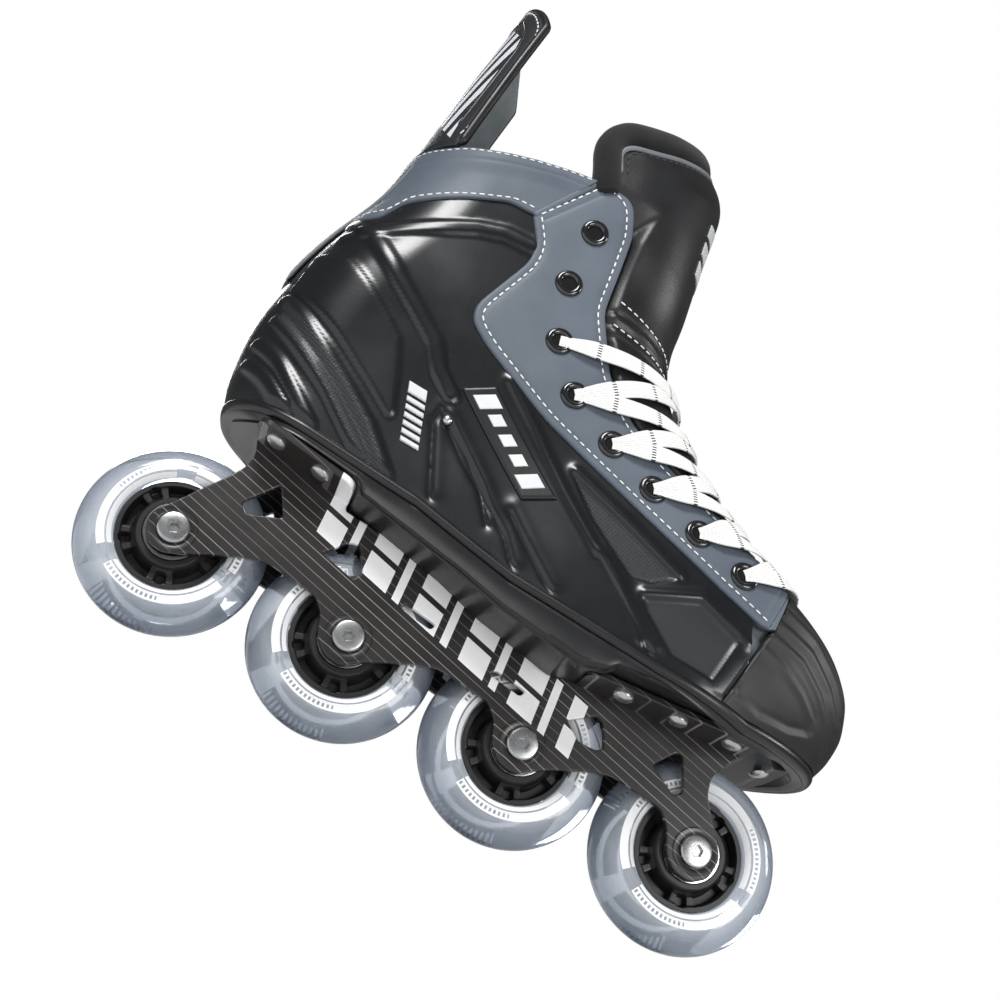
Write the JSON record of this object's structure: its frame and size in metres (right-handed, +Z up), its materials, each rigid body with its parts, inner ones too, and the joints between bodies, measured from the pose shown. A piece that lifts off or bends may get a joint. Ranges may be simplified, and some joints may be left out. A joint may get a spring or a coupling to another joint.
{
  "type": "inline skate",
  "caption": "Right-foot fitness inline skate: moulded laced boot with padded tongue and tendon guard on a riveted frame with a row of clear-tinted wheels.",
  "frame": {"origin": "on the ground, midway between the two middle axles, on the centre plane of the wheels", "axes": "+X points to the toe, -Y to the outer side of this right-foot skate, +Z up"},
  "size_m": [0.2956, 0.0988, 0.3359],
  "materials": {
    "tyre": "clear-tinted cast polyurethane, glossy, with pale printed arcs",
    "hub_nylon": "black glass-filled nylon, satin",
    "bearing_steel": "ground steel",
    "zinc_steel": "zinc-plated steel, lightly worn",
    "frame_coat": "near-black satin coat with fine silver lines",
    "sole_moulding": "black moulded sole, satin",
    "board": "pressed fibre board",
    "foam_fabric": "knit-covered foam",
    "lining_suede": "grey brushed suede lining",
    "shell_moulding": "black moulded shell with embossed panels, satin",
    "toe_moulding": "black fine-grain moulded toe cap",
    "slate_leather": "slate-grey synthetic leather with pale stitching",
    "guard_leather": "dark grey synthetic leather with pale bars",
    "tongue_leather": "black smooth synthetic leather",
    "eyelet_enamel": "glossy black enamel on pressed steel",
    "lace_weave": "white flat woven lace with black flecks"
  },
  "bodies": {
    "boot": {"bearing_inner_race_1_lateral": "bearing_steel", "bearing_inner_race_1_medial": "bearing_steel", "bearing_spacer_1": "bearing_steel", "axle_bolt_1": "zinc_steel", "bearing_inner_race_2_lateral": "bearing_steel", "bearing_inner_race_2_medial": "bearing_steel", "bearing_spacer_2": "bearing_steel", "axle_bolt_2": "zinc_steel", "bearing_inner_race_3_lateral": "bearing_steel", "bearing_inner_race_3_medial": "bearing_steel", "bearing_spacer_3": "bearing_steel", "axle_bolt_3": "zinc_steel", "bearing_inner_race_4_lateral": "bearing_steel", "bearing_inner_race_4_medial": "bearing_steel", "bearing_spacer_4": "bearing_steel", "axle_bolt_4": "zinc_steel", "frame": "frame_coat", "rivet_front_platform_front_lateral": "zinc_steel", "rivet_front_platform_front_medial": "zinc_steel", "rivet_front_platform_middle_lateral": "zinc_steel", "rivet_front_platform_middle_medial": "zinc_steel", "rivet_front_platform_rear_lateral": "zinc_steel", "rivet_front_platform_rear_medial": "zinc_steel", "rivet_rear_platform_front_lateral": "zinc_steel", "rivet_rear_platform_front_medial": "zinc_steel", "rivet_rear_platform_rear_lateral": "zinc_steel", "rivet_rear_platform_rear_medial": "zinc_steel", "outsole": "sole_moulding", "lasting_board": "board", "footbed": "foam_fabric", "liner": "lining_suede", "quarter_shell": "shell_moulding", "toe_cap": "toe_moulding", "collar": "slate_leather", "eyestay_lateral": "slate_leather", "eyestay_medial": "slate_leather", "tongue_lower": "tongue_leather", "eyelets_lateral": "eyelet_enamel", "eyelets_medial": "eyelet_enamel", "lace": "lace_weave"},
    "wheel_1": {"tyre_1": "tyre", "hub_1": "hub_nylon", "bearing_outer_race_1_lateral": "bearing_steel", "bearing_outer_race_1_medial": "bearing_steel"},
    "wheel_2": {"tyre_2": "tyre", "hub_2": "hub_nylon", "bearing_outer_race_2_lateral": "bearing_steel", "bearing_outer_race_2_medial": "bearing_steel"},
    "wheel_3": {"tyre_3": "tyre", "hub_3": "hub_nylon", "bearing_outer_race_3_lateral": "bearing_steel", "bearing_outer_race_3_medial": "bearing_steel"},
    "wheel_4": {"tyre_4": "tyre", "hub_4": "hub_nylon", "bearing_outer_race_4_lateral": "bearing_steel", "bearing_outer_race_4_medial": "bearing_steel"},
    "tongue_top": {"tongue_upper": "tongue_leather"},
    "guard": {"tendon_guard": "guard_leather"}
  },
  "joints": [
    {"name": "wheel_1_spin", "type": "hinge", "parent": "boot", "child": "wheel_1", "pos_m": [0.11175, 0, 0.036], "axis": [0, 1, 0], "continuous": true},
    {"name": "wheel_2_spin", "type": "hinge", "parent": "boot", "child": "wheel_2", "pos_m": [0.03725, 0, 0.036], "axis": [0, 1, 0], "continuous": true},
    {"name": "wheel_3_spin", "type": "hinge", "parent": "boot", "child": "wheel_3", "pos_m": [-0.03725, 0, 0.036], "axis": [0, 1, 0], "continuous": true},
    {"name": "wheel_4_spin", "type": "hinge", "parent": "boot", "child": "wheel_4", "pos_m": [-0.11175, 0, 0.036], "axis": [0, 1, 0], "continuous": true},
    {"name": "tongue_flex", "type": "hinge", "parent": "boot", "child": "tongue_top", "pos_m": [0.0205, 0, 0.2021], "axis": [0, 1, 0], "range_deg": [0, 30], "stiffness_Nm_per_rad": 0.6},
    {"name": "tendon_guard_flex", "type": "hinge", "parent": "boot", "child": "guard", "pos_m": [-0.123, 0, 0.2313], "axis": [0, -1, 0], "range_deg": [0, 25], "stiffness_Nm_per_rad": 1.5}
  ]
}
